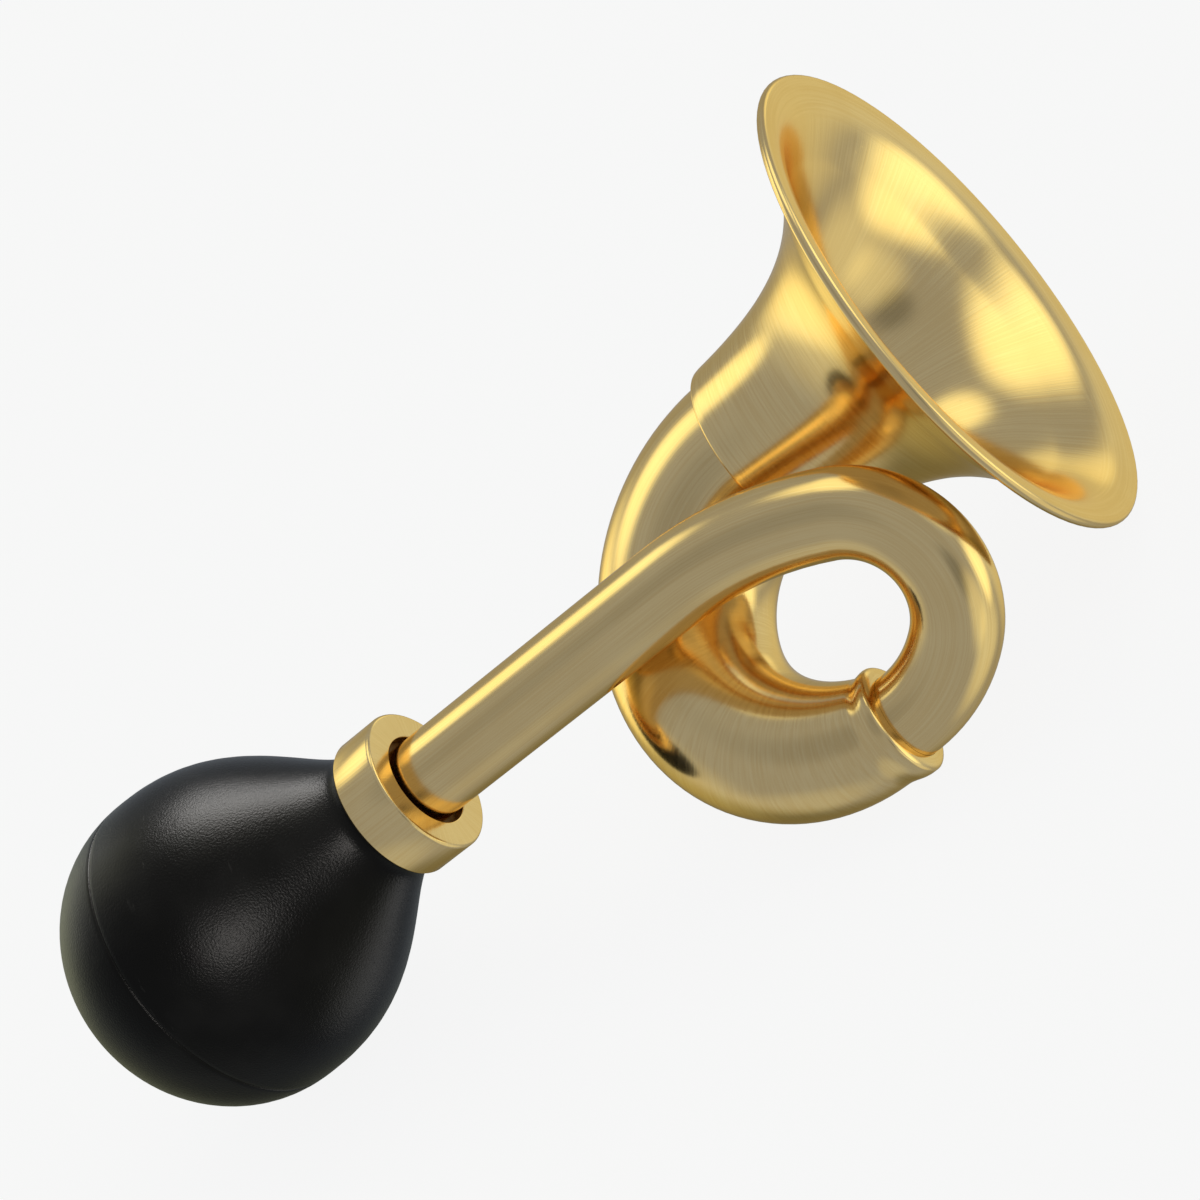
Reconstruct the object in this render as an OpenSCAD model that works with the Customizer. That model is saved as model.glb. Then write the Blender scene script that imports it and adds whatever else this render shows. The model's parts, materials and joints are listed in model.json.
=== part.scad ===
// Bulb horn: a single-twist brass horn with a squeezed rubber bulb.
// Every piece is drawn in the horn's own frame: X runs along the straight mouthpipe,
// from the bulb towards the bend, and the origin is the middle of the collar's front face.
// The finished horn is then laid on a table, on its bulb, its bell rim and its rear bend.

/* [Bell] */
// Diameter over the rolled rim of the mouth
bell_mouth_d = 110; // [90:1:125]
// Length from the socket's edge to the mouth
bell_len = 53; // [46:1:64]
// Diameter of the neck, just past the socket's rounded edge
bell_neck_d = 42; // [41:0.2:44]
// Rounding of the socket's edge
bell_edge_r = 0.9; // [0.5:0.1:1.4]
// Thickness of the sheet
bell_wall = 1.1; // [0.8:0.1:1.2]
// Rate of the exponential flare: higher keeps the throat narrow for longer
bell_flare = 3.4; // [2.5:0.1:4]
// Depth of the socket that takes the rear bend
bell_socket_len = 8; // [5:0.5:12]
// Thickness of the rolled rim
rim_bead_d = 2.2; // [1.8:0.1:3]
// Diameter of the wire inside the rolled rim
rim_wire_d = 1.1; // [0.8:0.1:1.2]

/* [Rear bend] */
// Outer diameter where it enters the bell
rear_out_d = 37.6; // [34:0.2:40]
// Thickness of the sheet
rear_wall = 1.2; // [0.8:0.1:1.6]
// Radius of the half-turn, on the centre line
rear_bend_r = 34; // [32:0.5:40]
// How early the bend swells: higher reaches full width sooner
rear_swell = 2.8; // [2:0.1:4]
// Angle between the plane of the rear bend and that of the mouthpipe
rear_twist = 35.5; // [35:0.5:45]
// Depth of the socket that takes the mouthpipe
rear_socket_len = 4; // [3:0.5:6]
// Diameter over the flared lip of that socket
rear_lip_d = 23.2; // [22.4:0.2:26]
// Length of the lip's rounded front
rear_lip_w = 1.2; // [0.8:0.1:1.8]
// Length over which the lip fades into the bend
rear_lip_fade = 5; // [3:0.5:7]

/* [Mouthpipe] */
// Outer diameter of the tube
tube_d = 18; // [16:0.5:19]
// Thickness of the tube
tube_wall = 1; // [0.8:0.1:1.4]
// Straight length in front of the collar
straight_len = 70.5; // [66:0.5:80]
// Radius of the gentle bend that leads into the loop
entry_bend_r = 78.5; // [60:0.5:100]
// Angle of that bend
entry_angle = 26; // [20:1:32]
// Radius of the loop's tight bend
main_bend_r = 20; // [18:0.5:26]
// Angle of the tight bend
main_angle = 115; // [100:1:124]
// Radius of the bend that leads out of the loop
exit_bend_r = 29; // [24:0.5:40]

/* [Collar] */
// Outer diameter of the collar
collar_d = 32.4; // [31:0.2:36]
// Length of the collar
collar_len = 11; // [10:0.5:14]
// Diameter of the hole round the mouthpipe
collar_hole_d = 20.6; // [19.8:0.1:23]
// Thickness of the collar's front wall
collar_front = 2.2; // [1.6:0.1:3]
// Diameter of the collar's thread
thread_d = 27.2; // [26.6:0.1:28.4]
// Rounding of the collar's outer edges
collar_edge_r = 0.9; // [0.5:0.1:1.4]

/* [Reed socket] */
// Diameter of the flange that the collar pulls on
flange_d = 25.4; // [24:0.1:26]
// Thickness of the flange
flange_t = 2; // [1.4:0.1:3]
// Length of the spigot inside the mouthpipe
spigot_len = 8; // [5:0.5:12]
// Thickness of the sealing washer
washer_t = 1.2; // [0.8:0.1:2]
// Diameter of the washer's hole
washer_hole_d = 13; // [12.4:0.2:15]

/* [Bulb nipple] */
// Outer diameter of the sleeve inside the rubber neck
sleeve_d = 20.6; // [20:0.2:22]
// Length of the sleeve behind the collar
sleeve_len = 16; // [12:0.5:20]
// Bore of the nipple
nipple_bore_d = 17; // [15:0.5:18]
// Number of gripping ridges on the sleeve
barb_count = 3; // [2:1:4]
// Height of a ridge
barb_h = 0.7; // [0.4:0.1:1]

/* [Bulb] */
// Largest diameter of the bulb
bulb_d = 72.4; // [64:0.2:80]
// Distance from the collar to the widest place
bulb_belly = 51.8; // [46:0.2:60]
// Distance from the widest place to the tail
bulb_tail = 33.2; // [28:0.2:38]
// Diameter of the neck at the collar
neck_d = 27.4; // [26:0.2:28.6]
// Height of the cuff that meets the collar
cuff_h = 1.2; // [0.4:0.1:1.4]
// Length over which the cuff fades into the neck
cuff_len = 4; // [3:0.5:6]
// Fullness of the shoulder
shoulder_full = 2.44; // [2:0.01:3]
// Hollow of the neck below the shoulder
neck_hollow = 1.79; // [1.4:0.01:2.2]
// Thickness of the rubber
bulb_wall = 3; // [2:0.1:4]
// Distance from the widest place back to the seam of the two cups
seam_back = 1.2; // [0.5:0.1:6]

/* [Reed] */
// Diameter of the reed's body
reed_d = 10; // [9:0.2:11]
// Bore of the reed's body
reed_bore_d = 5.6; // [4.6:0.2:6]
// Length of the body behind the flange
reed_len = 23; // [21:0.5:28]
// Height of the facing above the axis
facing_h = 3.4; // [3.2:0.1:3.8]
// Width of the tongue
tongue_w = 5.6; // [4.6:0.2:6.2]
// Thickness of the tongue
tongue_t = 0.3; // [0.2:0.05:0.5]
// Free length of the tongue
tongue_len = 13; // [11:0.5:14]
// Opening under the tip of the tongue
tip_gap = 0.55; // [0.4:0.05:0.8]
// Length of the plate that holds the tongue
plate_len = 4; // [3.6:0.1:5]
// Thickness of that plate
plate_t = 0.9; // [0.6:0.1:1.4]
// Diameter of the two screws
screw_d = 1.4; // [1:0.1:1.6]

/* [Fits] */
// Gap filled by solder or glue
solder_gap = 0.05; // [0.03:0.01:0.1]
// Radial clearance of the collar's thread
thread_gap = 0.07; // [0.04:0.01:0.1]
// Play of the flange inside the collar, and of the washer
seat_gap = 0.1; // [0.05:0.05:0.2]
// Width of the seam between the two cups
seam_gap = 0.3; // [0.2:0.1:0.5]
// Clearance round the tongue
tongue_gap = 0.1; // [0.08:0.01:0.15]

/* [Hidden] */
$fn = 96;
// A little extra so that cuts pass right through
over = 1;

brass = [0.79, 0.64, 0.31];
pale_brass = [0.82, 0.70, 0.42];
steel = [0.72, 0.72, 0.72];
rubber = [0.10, 0.10, 0.10];
leather = [0.42, 0.28, 0.17];

// Along the axis of the collar, from front to back
flange_front = -collar_front - seat_gap;
flange_back = flange_front - flange_t;
washer_back = flange_back - washer_t;
head_front = washer_back - solder_gap;
sleeve_end = -collar_len - sleeve_len;
neck_front = -collar_len - solder_gap;
belly_x = -collar_len - bulb_belly;
seam_x = belly_x - seam_back;
tail_x = belly_x - bulb_tail;
tube_start = flange_front;
tube_bore_d = tube_d - 2 * tube_wall;

// The mouthpipe's centre line in the XY plane: where an arc ends that starts at p with this heading
function arc_point(p, heading, r, a) =
    p + r * [sin(heading + a) - sin(heading), cos(heading) - cos(heading + a)];
exit_angle = 180 - entry_angle - main_angle;
bend_1 = [straight_len, 0];
bend_2 = arc_point(bend_1, 0, entry_bend_r, entry_angle);
bend_3 = arc_point(bend_2, entry_angle, main_bend_r, main_angle);
tube_end = arc_point(bend_3, entry_angle + main_angle, exit_bend_r, exit_angle);
// The bends start this far inside the straight's wall, and this far within its thickness
lap_len = 2;
lap_inset = 0.02;
entry_steps = 6;
main_steps = 18;
exit_steps = 7;
// Points on the centre line of the bends, each with its heading
tube_stations = concat(
    [[bend_1 - [lap_len, 0], 0]],
    [for (i = [0:entry_steps]) let (a = entry_angle * i / entry_steps)
        [arc_point(bend_1, 0, entry_bend_r, a), a]],
    [for (i = [1:main_steps]) let (a = main_angle * i / main_steps)
        [arc_point(bend_2, entry_angle, main_bend_r, a), entry_angle + a]],
    [for (i = [1:exit_steps]) let (a = exit_angle * i / exit_steps)
        [arc_point(bend_3, entry_angle + main_angle, exit_bend_r, a), entry_angle + main_angle + a]],
    [[tube_end - [rear_socket_len, 0], 180]]);

// The rear bend turns back in a plane of its own, from the mouthpipe's end to the bell.
// Its first quarter is drawn out by the depth of the mouthpipe's socket
rear_side = [0, -cos(rear_twist), sin(rear_twist)];
rear_normal = cross([-1, 0, 0], rear_side);
rear_last_len = PI / 2 * rear_bend_r;
rear_first_len = rear_socket_len + rear_last_len;
rear_turn_len = rear_first_len + rear_last_len;
rear_len = rear_turn_len + bell_socket_len;
function rear_plane(a, b) = [tube_end.x - a, tube_end.y, 0] + b * rear_side;
function rear_turn(s) =
    s < rear_first_len ? 90 * s / rear_first_len : min(180, 90 + 90 * (s - rear_first_len) / rear_last_len);
function rear_depth(s) = s < rear_first_len ? rear_socket_len + rear_bend_r : rear_bend_r;
function rear_center(s) =
    rear_plane(rear_socket_len + rear_bend_r - rear_depth(s) * (1 - sin(rear_turn(s))) - max(0, s - rear_turn_len),
        rear_bend_r * (1 - cos(rear_turn(s))));
function rear_ahead(s) = rear_depth(s) * cos(rear_turn(s));
function rear_aside(s) = rear_bend_r * sin(rear_turn(s));
function rear_tangent(s) = unit(rear_ahead(s) * [-1, 0, 0] + rear_aside(s) * rear_side);
function rear_across(s) = unit(rear_ahead(s) * rear_side - rear_aside(s) * [-1, 0, 0]);
// Flats of the faceted socket stay clear of the round tube inside it
rear_sides = 32;
rear_in_r = (tube_d / 2 + solder_gap) / cos(180 / rear_sides);
function rear_swollen(s) = 1 - pow(1 - rear_turn(s) / 180, rear_swell);
function rear_bore_r(s) = rear_in_r + (rear_out_d / 2 - rear_wall - rear_in_r) * rear_swollen(s);
// The lip's share of its full height: a rounded front, then a slow fade
function rear_lip_share(s) =
    let (before = max(0, 1 - s / rear_lip_w), past = max(0, (s - rear_lip_w) / rear_lip_fade))
    before > 0 ? sqrt(1 - before * before) : past < 1 ? pow(cos(90 * past), 2) : 0;
function rear_lip_r(s) = (rear_lip_d / 2 - rear_in_r - rear_wall) * rear_lip_share(s);
function rear_outer_r(s) = rear_bore_r(s) + rear_wall + rear_lip_r(s);
// Stations of the sweep: close together at the lip's front, then as deep as the socket and round the turn
lip_front_angles = [10, 30, 50, 70, 90];
rear_stations = concat(
    [for (a = lip_front_angles) rear_lip_w * (1 - cos(a))],
    [for (i = [1:3]) rear_lip_w + (rear_socket_len - rear_lip_w) * i / 3],
    [for (i = [1:32]) rear_socket_len + (rear_turn_len - rear_socket_len) * i / 32],
    [rear_len]);

// The bell carries on from the rear bend, parallel to the mouthpipe
bell_start = rear_center(rear_turn_len);
bell_axis_y = bell_start.y;
bell_axis_z = bell_start.z;
mouth_x = bell_start.x + bell_len;
socket_r = rear_out_d / 2 + solder_gap;
throat_r = bell_neck_d / 2;
rim_r = bell_mouth_d / 2 - rim_bead_d / 2;
rim_x = bell_len - rim_bead_d / 2;
bell_steps = 28;
function flare(t) = (exp(bell_flare * t) - 1) / (exp(bell_flare) - 1);
function bell_r(t) = throat_r + (rim_r - throat_r) * flare(t);
function bell_slope(t) =
    atan((rim_r - throat_r) * bell_flare * exp(bell_flare * t) / (exp(bell_flare) - 1) / rim_x);
function bell_inner(t) = [t * rim_x, bell_r(t)] + bell_wall * [sin(bell_slope(t)), -cos(bell_slope(t))];

// The bulb's outline: a hollow neck that swells into a full shoulder, then a rounded tail
bulb_steps = 22;
tail_steps = 14;
function shoulder(u) = pow(1 - pow(1 - u, shoulder_full), neck_hollow);
function bulb_outer(x) =
    x > belly_x
        ? neck_d / 2 + (bulb_d - neck_d) / 2 * shoulder(min(1, (neck_front - x) / (neck_front - belly_x)))
        : bulb_d / 2 * sqrt(max(0, 1 - pow((belly_x - x) / bulb_tail, 2)));
// The cuff stands on that outline where the rubber meets the collar
cuff_steps = 6;
function cuff(x) = cuff_h * pow(max(0, 1 - (neck_front - x) / cuff_len), 2);
cuff_x = [for (i = [0:cuff_steps]) neck_front - cuff_len * i / cuff_steps];
front_x = [for (i = [0:bulb_steps]) neck_front + (seam_x + seam_gap / 2 - neck_front) * i / bulb_steps];
function tail_turn(x) = asin(min(1, (belly_x - x) / bulb_tail));
function tail_point(a, inset) =
    [belly_x - (bulb_tail - inset) * sin(a), (bulb_d / 2 - inset) * cos(a)];
rear_cup_turn = tail_turn(seam_x - seam_gap / 2);

// Rings that bound the horn, each as its centre, its axis and its radius
bulb_rings = concat(
    [for (x = front_x) [[x, 0, 0], [1, 0, 0], bulb_outer(x)]],
    [for (i = [0:tail_steps])
        let (p = tail_point(rear_cup_turn + (90 - rear_cup_turn) * i / tail_steps, 0))
        [[p.x, 0, 0], [1, 0, 0], max(0, p.y)]]);
rim_rings = [[[bell_start.x + rim_x, bell_axis_y, bell_axis_z], [1, 0, 0], bell_mouth_d / 2]];
rear_rings = [for (s = rear_stations) [rear_center(s), rear_tangent(s), rear_outer_r(s)]];
tube_rings = [for (g = tube_stations) [[g[0].x, g[0].y, 0], [cos(g[1]), sin(g[1]), 0], tube_d / 2]];
all_rings = concat(bulb_rings, rim_rings, rear_rings, tube_rings);

// The table's upward direction, found from the three places that touch it
function unit(v) = v / norm(v);
function ring_reach(g, d) = g[0] * d + g[2] * sqrt(max(0, 1 - pow(g[1] * d, 2)));
function ring_point(g, d) =
    let (w = d - (d * g[1]) * g[1])
    norm(w) > 0 ? g[0] + g[2] * unit(w) : g[0];
function furthest(rings, d) =
    let (reaches = [for (g = rings) ring_reach(g, d)], best = max(reaches))
    ring_point(rings[search(best, reaches)[0]], d);
function rest_up(up, rounds) =
    rounds == 0 ? up
    : let (a = furthest(bulb_rings, -up), b = furthest(rim_rings, -up), c = furthest(rear_rings, -up),
        n = unit(cross(b - a, c - a)))
        rest_up(n * up < 0 ? -n : n, rounds - 1);
up = rest_up(unit([0.14, -0.9, -0.42]), 12);
ahead = unit([1, 0, 0] - up.x * up);
aside = cross(up, ahead);
function reach(d) = max([for (g = all_rings) ring_reach(g, d)]);
function middle(d) = (reach(d) - reach(-d)) / 2;
laid = [
    [ahead.x, ahead.y, ahead.z, -middle(ahead)],
    [aside.x, aside.y, aside.z, -middle(aside)],
    [up.x, up.y, up.z, reach(-up)]];

// Lays the horn on the table
module lay() {
    multmatrix(laid) children();
}

// Turns an outline of axial and radial distances about the X axis
module turned() {
    rotate([0, 90, 0]) rotate_extrude() rotate(90) mirror([0, 1]) children();
}

// A tube along X, from x to x + length
module pipe(x, length, outer_r, inner_r) {
    translate([x, 0, 0]) rotate([0, 90, 0]) difference() {
        cylinder(r = outer_r, h = length);
        translate([0, 0, -over]) cylinder(r = inner_r, h = length + 2 * over);
    }
}

module bell() {
    e = bell_edge_r;
    edge = [for (a = [0:15:90]) [e - e * cos(a), throat_r - e + e * sin(a)]];
    outer = [for (i = [1:bell_steps - 1]) let (t = i / bell_steps) [t * rim_x, bell_r(t)]];
    // The sheet is rolled outwards round the wire
    roll = [for (a = [180:-15:-90])
        [rim_x, rim_r] + rim_bead_d / 2 * [cos(bell_slope(1) + a), sin(bell_slope(1) + a)]];
    inner = [for (i = [bell_steps - 1:-1:0])
        let (p = bell_inner(i / bell_steps))
        if (p.x > bell_socket_len + 2 * over) p];
    socket = [[bell_socket_len + solder_gap, socket_r - rear_wall], [bell_socket_len + solder_gap, socket_r],
        [0, socket_r]];
    color(brass) translate([bell_start.x, bell_axis_y, bell_axis_z]) difference() {
        turned() polygon(concat(edge, outer, roll, inner, socket));
        rim_ring(rim_wire_d / 2 + solder_gap);
    }
}

// A ring of round section inside the rolled rim
module rim_ring(r) {
    translate([rim_x, 0, 0]) rotate([0, 90, 0]) rotate_extrude() translate([rim_r, 0]) circle(r);
}

module bell_rim_wire() {
    color(steel) translate([bell_start.x, bell_axis_y, bell_axis_z]) rim_ring(rim_wire_d / 2);
}

// A tube swept through stations: each is its centre, two cross directions, outer and bore radius
module swept(stations, n) {
    last = len(stations) - 1;
    points = [for (wall = [3, 4], g = stations, k = [0:n - 1])
        g[0] + g[wall] * (cos(360 * k / n) * g[1] + sin(360 * k / n) * g[2])];
    function at(wall, ring, k) = (wall * (last + 1) + ring) * n + k % n;
    faces = [
        for (i = [0:last - 1], k = [0:n - 1]) each [
            [at(0, i, k), at(0, i + 1, k), at(0, i, k + 1)],
            [at(0, i + 1, k), at(0, i + 1, k + 1), at(0, i, k + 1)],
            [at(1, i, k), at(1, i, k + 1), at(1, i + 1, k)],
            [at(1, i + 1, k), at(1, i, k + 1), at(1, i + 1, k + 1)]],
        for (k = [0:n - 1]) each [
            [at(0, 0, k), at(0, 0, k + 1), at(1, 0, k)],
            [at(0, 0, k + 1), at(1, 0, k + 1), at(1, 0, k)],
            [at(0, last, k), at(1, last, k), at(0, last, k + 1)],
            [at(0, last, k + 1), at(1, last, k), at(1, last, k + 1)]]];
    polyhedron(points, faces);
}

module rear_bend() {
    color(brass) swept([for (s = rear_stations)
        [rear_center(s), rear_across(s), rear_normal, rear_outer_r(s), rear_bore_r(s)]], rear_sides);
}

// The straight is exact for whatever clamps round it, and the bends lap inside its wall
module mouthpipe() {
    outer = tube_d / 2 - lap_inset;
    bore = (tube_bore_d / 2 + lap_inset) / cos(180 / rear_sides);
    color(brass) union() {
        pipe(tube_start, straight_len - tube_start, tube_d / 2, tube_bore_d / 2);
        swept([for (g = tube_stations)
            [[g[0].x, g[0].y, 0], [-sin(g[1]), cos(g[1]), 0], [0, 0, 1], outer, bore]], rear_sides);
    }
}

module reed_socket() {
    color(pale_brass) union() {
        pipe(flange_back, flange_t, flange_d / 2, reed_d / 2 + solder_gap);
        pipe(flange_front, spigot_len, tube_bore_d / 2 - solder_gap, reed_d / 2 + solder_gap);
    }
}

module collar() {
    r = collar_d / 2;
    e = collar_edge_r;
    hole = collar_hole_d / 2;
    thread = thread_d / 2;
    edge_front = [for (i = [0:5]) [-e + e * cos(18 * i), r - e + e * sin(18 * i)]];
    edge_back = [for (i = [0:5]) [-collar_len + e - e * sin(18 * i), r - e + e * cos(18 * i)]];
    color(brass) turned() polygon(concat(
        [[0, hole]], edge_front, edge_back,
        [[-collar_len, thread], [-collar_front, thread], [-collar_front, hole]]));
}

module sealing_washer() {
    color(leather) pipe(washer_back, washer_t, flange_d / 2, washer_hole_d / 2);
}

// Along the reed, measured back from the flange
plate_front = washer_back - tongue_gap;
plate_back = plate_front - plate_len;
tongue_tip = plate_back - tongue_len;
reed_back = flange_back - reed_len;
tongue_low = facing_h + tongue_gap;
screw_x = (plate_front + plate_back) / 2;
screw_y = tongue_w / 4 + screw_d / 8;
plate_low = tongue_low + tongue_t + tongue_gap;
slot_w = tongue_w - 2.4;

module reed_body() {
    front = flange_front + spigot_len;
    half = reed_d / 2;
    color(pale_brass) difference() {
        translate([reed_back, 0, 0]) rotate([0, 90, 0]) cylinder(d = reed_d, h = front - reed_back);
        translate([reed_back + 2, 0, 0]) rotate([0, 90, 0]) cylinder(d = reed_bore_d, h = front - reed_back);
        // The facing slopes away from the tongue towards its tip
        rotate([90, 0, 0]) translate([0, 0, -half - over]) linear_extrude(reed_d + 2 * over) polygon([
            [washer_back, facing_h], [plate_back, facing_h], [tongue_tip, facing_h - tip_gap],
            [reed_back - over, facing_h - tip_gap], [reed_back - over, half + over], [washer_back, half + over]]);
        // The slot that the tongue beats on
        translate([tongue_tip + 1, -slot_w / 2, 0]) cube([tongue_len - 2.5, slot_w, half + over]);
        for (side = [-1, 1])
            translate([screw_x, side * screw_y, 1]) cylinder(d = screw_d + 2 * solder_gap, h = half);
    }
}

module reed_tongue() {
    color(pale_brass) difference() {
        translate([tongue_tip, -tongue_w / 2, tongue_low])
            cube([plate_front - tongue_tip, tongue_w, tongue_t]);
        for (side = [-1, 1])
            translate([screw_x, side * screw_y, 0]) cylinder(d = screw_d + 4 * tongue_gap, h = reed_d);
    }
}

module reed_plate() {
    color(pale_brass) difference() {
        translate([plate_back, -tongue_w / 2, plate_low]) cube([plate_len, tongue_w, plate_t]);
        for (side = [-1, 1])
            translate([screw_x, side * screw_y, 0]) cylinder(d = screw_d + 2 * solder_gap, h = reed_d);
    }
}

module reed_screws() {
    shank_low = 1 + solder_gap;
    head_low = plate_low + plate_t;
    color(pale_brass) for (side = [-1, 1])
        translate([screw_x, side * screw_y, 0]) {
            translate([0, 0, shank_low]) cylinder(d = screw_d, h = head_low - shank_low);
            translate([0, 0, head_low]) cylinder(d = screw_d * 1.6, h = screw_d * 0.6);
        }
}

// The sleeve's ridged outline from the neck inwards, grown by gap
function sleeve_outline(gap) = [
    for (i = [0:barb_count - 1])
        let (pitch = sleeve_len / (barb_count + 0.5), x = -collar_len - pitch * (i + 0.5))
        each [[x, sleeve_d / 2 + gap], [x, sleeve_d / 2 + barb_h + gap], [x - pitch * 0.7, sleeve_d / 2 + gap]]];

module bulb_nipple() {
    head = thread_d / 2 - thread_gap;
    bore = nipple_bore_d / 2;
    color(pale_brass) turned() polygon(concat(
        [[head_front, bore], [head_front, head], [-collar_len, head], [-collar_len, sleeve_d / 2]],
        sleeve_outline(0),
        [[sleeve_end, sleeve_d / 2], [sleeve_end, bore]]));
}

module bulb_front() {
    grip = sleeve_d / 2 + solder_gap;
    outer = concat(
        [for (x = cuff_x) [x, bulb_outer(x) + cuff(x)]],
        [for (x = front_x) if (x < neck_front - cuff_len) [x, bulb_outer(x)]]);
    seam = front_x[bulb_steps];
    inner = [for (i = [bulb_steps:-1:0])
        if (front_x[i] < sleeve_end - solder_gap - over && front_x[i] >= belly_x)
            [front_x[i], max(grip, bulb_outer(front_x[i]) - bulb_wall)]];
    ridges = sleeve_outline(solder_gap);
    bore = [for (i = [len(ridges) - 1:-1:0]) ridges[i]];
    color(rubber) turned() polygon(concat(
        outer,
        [tail_point(tail_turn(seam), bulb_wall)],
        inner,
        [[sleeve_end - solder_gap, max(grip, bulb_outer(sleeve_end) - bulb_wall)], [sleeve_end - solder_gap, grip]],
        bore,
        [[neck_front, grip]]));
}

module bulb_rear() {
    turn = 90 - rear_cup_turn;
    outer = [for (i = [0:tail_steps]) tail_point(rear_cup_turn + turn * i / tail_steps, 0)];
    inner = [for (i = [tail_steps:-1:0]) tail_point(rear_cup_turn + turn * i / tail_steps, bulb_wall)];
    color(rubber) turned() polygon(concat(
        [for (p = outer) [p.x, max(0, p.y)]],
        [for (p = inner) [min(p.x, outer[0].x), max(0, p.y)]]));
}

lay() bell();
lay() bell_rim_wire();
lay() rear_bend();
lay() mouthpipe();
lay() reed_socket();
lay() collar();
lay() sealing_washer();
lay() reed_body();
lay() reed_tongue();
lay() reed_plate();
lay() reed_screws();
lay() bulb_nipple();
lay() bulb_front();
lay() bulb_rear();
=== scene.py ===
"""Bulb horn: the looks of its brass and rubber pieces, on the frame of the part's solids."""
import json
import math
import bpy
from mathutils import Matrix, Vector


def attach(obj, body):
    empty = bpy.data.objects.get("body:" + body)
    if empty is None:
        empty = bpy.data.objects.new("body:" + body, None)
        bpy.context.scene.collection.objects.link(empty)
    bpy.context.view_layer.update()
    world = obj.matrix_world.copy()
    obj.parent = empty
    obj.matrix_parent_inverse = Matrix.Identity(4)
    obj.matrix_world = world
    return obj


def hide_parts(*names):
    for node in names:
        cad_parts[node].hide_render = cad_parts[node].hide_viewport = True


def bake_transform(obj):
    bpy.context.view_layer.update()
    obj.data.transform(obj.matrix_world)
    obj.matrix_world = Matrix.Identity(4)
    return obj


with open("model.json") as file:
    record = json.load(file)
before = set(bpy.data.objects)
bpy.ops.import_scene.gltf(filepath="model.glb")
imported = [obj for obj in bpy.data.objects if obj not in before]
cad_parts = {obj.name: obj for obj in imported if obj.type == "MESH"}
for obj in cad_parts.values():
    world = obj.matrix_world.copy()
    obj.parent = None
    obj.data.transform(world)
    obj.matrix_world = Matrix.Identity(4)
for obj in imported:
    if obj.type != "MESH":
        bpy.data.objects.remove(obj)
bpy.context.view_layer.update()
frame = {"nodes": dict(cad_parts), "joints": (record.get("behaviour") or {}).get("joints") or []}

# Sizes in millimetres, in the horn's own frame: X runs along the mouthpipe from bulb to bend
BELL_MOUTH_D = 110.0
BELL_LENGTH = 53.0
BELL_NECK_D = 42.0
BELL_EDGE_R = 0.9
BELL_WALL = 1.1
BELL_FLARE = 3.4
BELL_SOCKET = 8.0
# The flare turns flatter towards its rim: from this radius its points lie further forward, by this at most
BELL_LIP_FROM_R = 40.0
BELL_LIP_LIFT = 1.3
BELL_LIP_POWER = 1.3
RIM_BEAD_D = 2.2

REAR_OUT_D = 37.6
REAR_WALL = 1.2
REAR_BEND_R = 34.0
REAR_SWELL = 2.8
REAR_TWIST = math.radians(35.5)
REAR_SOCKET = 4.0
REAR_LIP_D = 23.2
REAR_LIP_FRONT = 1.2
REAR_LIP_FADE = 5.0

TUBE_D = 18.0
TUBE_WALL = 1.0
TUBE_START = -2.3
STRAIGHT_LENGTH = 70.5
MOUTHPIPE_BENDS = ((78.5, 26.0), (20.0, 115.0), (29.0, 39.0))

COLLAR_D = 32.4
COLLAR_LENGTH = 11.0
COLLAR_HOLE_D = 20.6
COLLAR_FRONT = 2.2
COLLAR_THREAD_D = 27.2
COLLAR_EDGE_R = 0.9
COLLAR_HOLE_EDGE = 0.35
COLLAR_FACE_RING = 2.0

BULB_D = 72.4
BULB_NECK_D = 27.4
BULB_NECK_X = -11.05
BULB_BELLY_X = -62.8
BULB_TAIL = 33.12
CUFF_HEIGHT = 1.2
CUFF_LENGTH = 4.0
CUFF_EDGE = 0.4
SHOULDER_FULL = 2.44
NECK_HOLLOW = 1.79
SEAM_X = -64.0
SEAM_HALF = 0.3
SEAM_DEPTH = 0.22
NIPPLE_D = 20.6
NIPPLE_BACK_X = -29.0
NIPPLE_GAP = 0.1
TAIL_POLE_R = 0.02

SOLDER_GAP = 0.05
RING_SIDES = 96
BEND_STEP = math.radians(3.0)
STRAIGHT_STEP = 6.0
SMOOTH_ANGLE = math.radians(40)
MILLIMETRE = 0.001


def horn_to_row():
    """The matrix from the horn's own frame in millimetres to the row's frame in metres."""
    joints = {joint["name"]: joint for joint in frame["joints"]}
    along = Vector(joints["collar_turn"]["axis"]).normalized()
    across = Vector(joints["reed_flex"]["axis"]).normalized()
    third = along.cross(across)
    collar_middle = Vector(joints["collar_turn"]["pos_m"])
    origin = collar_middle + along * (COLLAR_LENGTH / 2 * MILLIMETRE)
    turned = Matrix((along, across, third)).transposed().to_4x4()
    return Matrix.Translation(origin) @ turned @ Matrix.Scale(MILLIMETRE, 4)


HORN = horn_to_row()


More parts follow.
